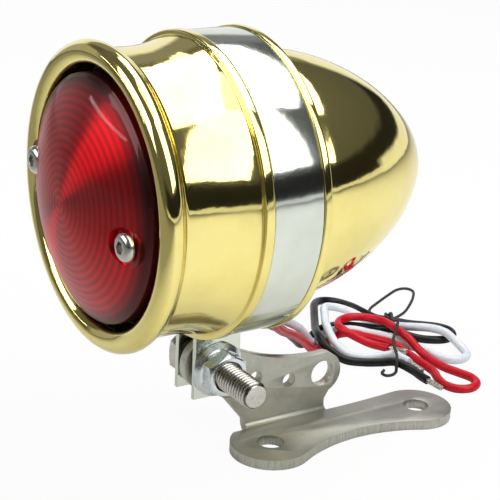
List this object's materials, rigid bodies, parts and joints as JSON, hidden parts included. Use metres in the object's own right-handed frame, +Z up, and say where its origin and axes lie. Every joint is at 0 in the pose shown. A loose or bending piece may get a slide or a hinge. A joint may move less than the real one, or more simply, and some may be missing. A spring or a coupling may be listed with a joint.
{
  "type": "motorcycle tail light",
  "caption": "Bullet-shaped brass tail light with a red lens, held in a steel clamp band that tilts on a bent steel bracket with a two-hole foot; its tied wires lie behind it.",
  "frame": {"origin": "midway between the two holes of the bracket's foot, on the foot's underside", "axes": "+Z up, away from the surface that the foot is bolted to; +Y along the lamp's axis, from the lens towards the bullet's tip; +X towards the free end of the clamp bolt"},
  "size_m": [0.1142, 0.1772, 0.1214],
  "materials": {
    "brass_shell": "polished",
    "band_steel": "polished",
    "bracket_steel": "satin",
    "zinc_steel": "zinc plated",
    "nickel_steel": "polished",
    "dark_steel": "blackened",
    "red_lens": "glossy, clear red",
    "black_rubber": "matt",
    "bright_reflector": "mirror bright",
    "plate_steel": "plated",
    "bulb_clear_glass": "clear",
    "bulb_brass": "satin",
    "filament_wire": "plain",
    "carrier_board": "matt",
    "contact_brass": "plain",
    "tinned_copper": "tinned",
    "wire_black_cover": "satin",
    "wire_white_cover": "satin",
    "wire_red_cover": "satin",
    "lead_covers": "satin",
    "tie_cord": "matt"
  },
  "bodies": {
    "bracket": {"bracket": "bracket_steel"},
    "clamp": {"clamp_band": "band_steel", "clamp_bolt": "nickel_steel", "clamp_nut": "zinc_steel", "spacers": "dark_steel"},
    "bulb": {"bulb_base": "bulb_brass", "bulb_glass": "bulb_clear_glass", "filaments": "filament_wire"},
    "contacts": {"contact_carrier": "carrier_board", "contact_pins": "contact_brass"},
    "lamp": {"front_shell": "brass_shell", "rear_shell": "brass_shell", "join_sleeve": "brass_shell", "shell_screws": "nickel_steel", "base_plate": "plate_steel", "plate_screws": "zinc_steel", "lens": "red_lens", "lens_gasket": "black_rubber", "lens_posts": "zinc_steel", "lens_screws": "nickel_steel", "reflector": "bright_reflector", "socket_shell": "plate_steel", "socket_rivets": "zinc_steel", "contact_spring": "zinc_steel", "lead_terminals": "tinned_copper", "ground_terminal": "tinned_copper", "ground_screw": "zinc_steel", "inner_leads": "lead_covers", "wire_grommet": "black_rubber", "wire_black": "wire_black_cover", "wire_white": "wire_white_cover", "wire_red": "wire_red_cover", "wire_strands": "tinned_copper", "wire_tie": "tie_cord"}
  },
  "joints": [
    {"name": "lamp_tilt", "type": "hinge", "parent": "bracket", "child": "clamp", "pos_m": [-0.013, -0.041, 0.0259], "axis": [1, 0, 0], "range_deg": [-10, 30]},
    {"name": "lamp_roll", "type": "hinge", "parent": "clamp", "child": "lamp", "pos_m": [-0.013, -0.041, 0.0794], "axis": [0, 1, 0], "range_deg": [-3, 10]},
    {"name": "bulb_push", "type": "slide", "parent": "lamp", "child": "bulb", "axis": [0, 1, 0], "range_m": [0, 0.002], "stiffness_N_per_m": 2500, "springref_m": -0.003},
    {"name": "contact_push", "type": "slide", "parent": "lamp", "child": "contacts", "axis": [0, 1, 0], "range_m": [0, 0.002], "deforming": ["contact_spring"]}
  ],
  "couplings": [
    {"joint": "contact_push", "follows": "bulb_push", "ratio": 1}
  ]
}
